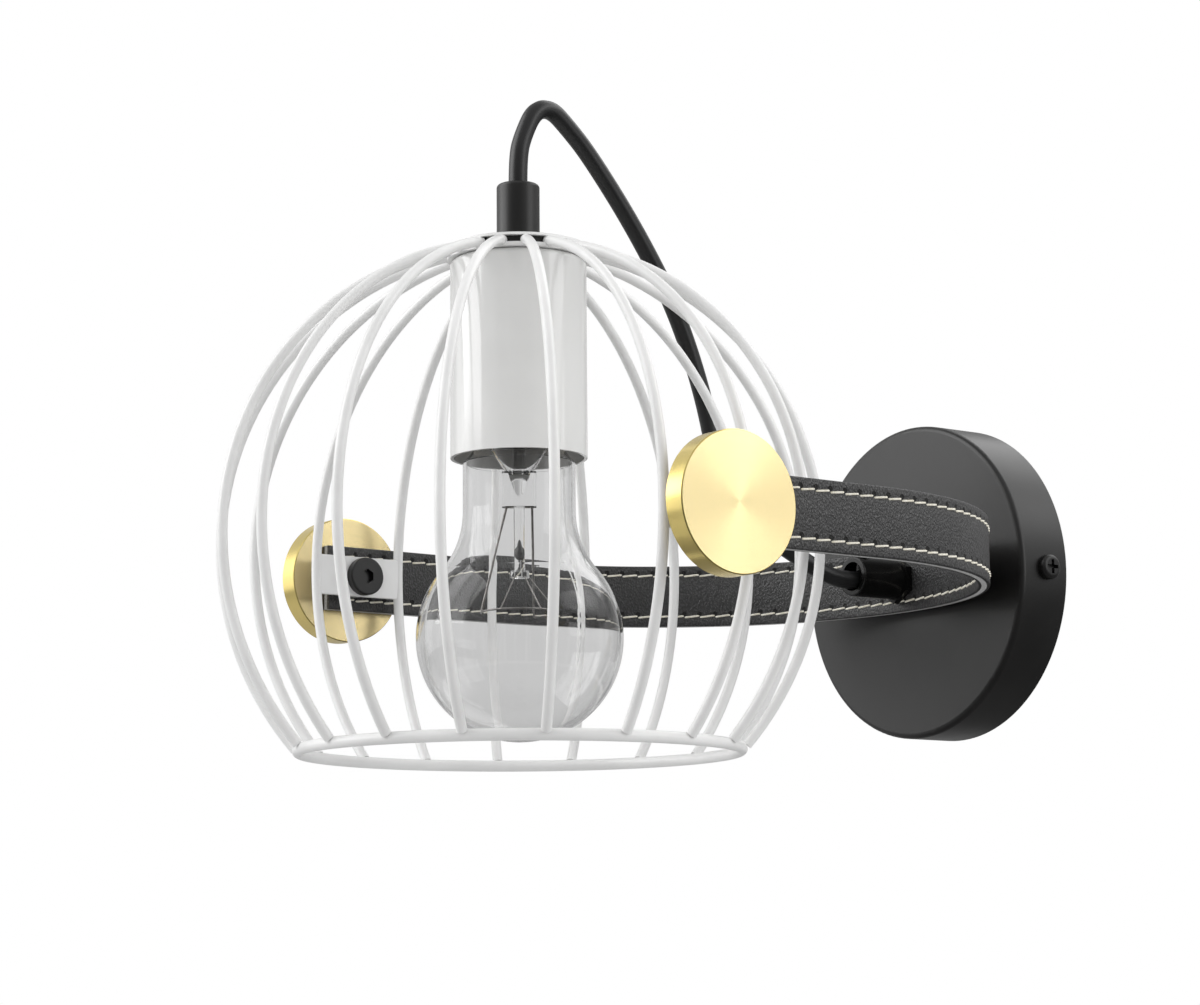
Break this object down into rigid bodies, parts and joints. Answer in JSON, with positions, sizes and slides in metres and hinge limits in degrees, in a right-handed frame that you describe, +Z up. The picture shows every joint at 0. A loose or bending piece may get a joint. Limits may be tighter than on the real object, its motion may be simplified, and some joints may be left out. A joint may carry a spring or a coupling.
{
  "type": "wall sconce",
  "caption": "Wall light with a wire globe shade and bare bulb, tilting between brass knobs in a U-shaped stitched leather band that stands out from a round canopy.",
  "frame": {"origin": "on the wall plane at the centre of the canopy, midway between the two wall screw slots", "axes": "+Y into the wall, so the light stands out towards -Y; +Z up; X along the axis that the shade tilts about"},
  "size_m": [0.202, 0.2605, 0.1967],
  "materials": {
    "zinc_steel": "zinc plated",
    "black_metal": "satin black",
    "white_metal": "satin white",
    "block_plastic": "satin",
    "brass_fittings": "turned",
    "live_insulation": "gloss",
    "neutral_insulation": "gloss",
    "earth_insulation": "gloss",
    "strap_core": "matt",
    "strap_leather": "fine grain",
    "cord_jacket": "satin",
    "holder_plastic": "satin",
    "knob_brass": "turned and lightly brushed",
    "bulb_clear_glass": "clear",
    "bulb_wires": "bare",
    "cap_aluminium": "rolled",
    "insulator_black": "gloss",
    "contact_metal": "bare"
  },
  "bodies": {
    "mount": {"wall_bracket": "zinc_steel", "canopy": "black_metal", "canopy_screws": "black_metal", "terminal_block": "block_plastic", "terminal_clamps": "brass_fittings", "earth_screw": "brass_fittings", "live_wire": "live_insulation", "neutral_wire": "neutral_insulation", "earth_wire": "earth_insulation", "band_core": "strap_core", "band_outer_leather": "strap_leather", "band_inner_leather": "strap_leather", "band_spacer": "zinc_steel", "band_nipple": "zinc_steel", "band_nut": "black_metal", "band_lock_nut": "zinc_steel", "band_gland": "black_metal", "band_gland_screw": "black_metal", "lamp_cord": "cord_jacket"},
    "shade": {"cage_rib_01": "white_metal", "cage_rib_02": "white_metal", "cage_rib_03": "white_metal", "cage_rib_04": "white_metal", "cage_rib_05": "white_metal", "cage_rib_06": "white_metal", "cage_rib_07": "white_metal", "cage_rib_08": "white_metal", "cage_rib_09": "white_metal", "cage_rib_10": "white_metal", "cage_rib_11": "white_metal", "cage_rib_12": "white_metal", "cage_rib_13": "white_metal", "cage_rib_14": "white_metal", "cage_rib_15": "white_metal", "cage_rib_16": "white_metal", "cage_rib_17": "white_metal", "cage_rib_18": "white_metal", "bottom_ring": "white_metal", "top_ring": "white_metal", "pivot_tabs": "white_metal", "pivot_screws": "black_metal", "pivot_washers": "zinc_steel", "shade_gland": "black_metal", "shade_nipple": "zinc_steel", "top_spacer": "black_metal", "cover_plate": "white_metal", "socket_sleeve": "white_metal", "socket_body": "holder_plastic", "socket_shell": "brass_fittings", "socket_contact": "brass_fittings", "inner_cord": "cord_jacket"},
    "knob_right": {"knob_right": "knob_brass"},
    "knob_left": {"knob_left": "knob_brass"},
    "bulb": {"bulb_glass": "bulb_clear_glass", "bulb_stem": "bulb_clear_glass", "bulb_lead_wires": "bulb_wires", "bulb_filament": "bulb_wires", "bulb_cap": "cap_aluminium", "bulb_insulator": "insulator_black", "bulb_contact": "contact_metal"}
  },
  "joints": [
    {"name": "shade_tilt", "type": "hinge", "parent": "mount", "child": "shade", "pos_m": [0, -0.172, 0], "axis": [1, 0, 0], "range_deg": [-60, 45], "deforming": ["lamp_cord"]},
    {"name": "knob_right_turn", "type": "hinge", "parent": "shade", "child": "knob_right", "pos_m": [0.094, -0.172, 0], "axis": [1, 0, 0], "range_deg": [0, 360]},
    {"name": "knob_left_turn", "type": "hinge", "parent": "shade", "child": "knob_left", "pos_m": [-0.094, -0.172, 0], "axis": [-1, 0, 0], "range_deg": [0, 360]},
    {"name": "bulb_slide", "type": "slide", "parent": "shade", "child": "bulb", "axis": [0, 0, -1], "range_m": [0, 0.112]}
  ]
}
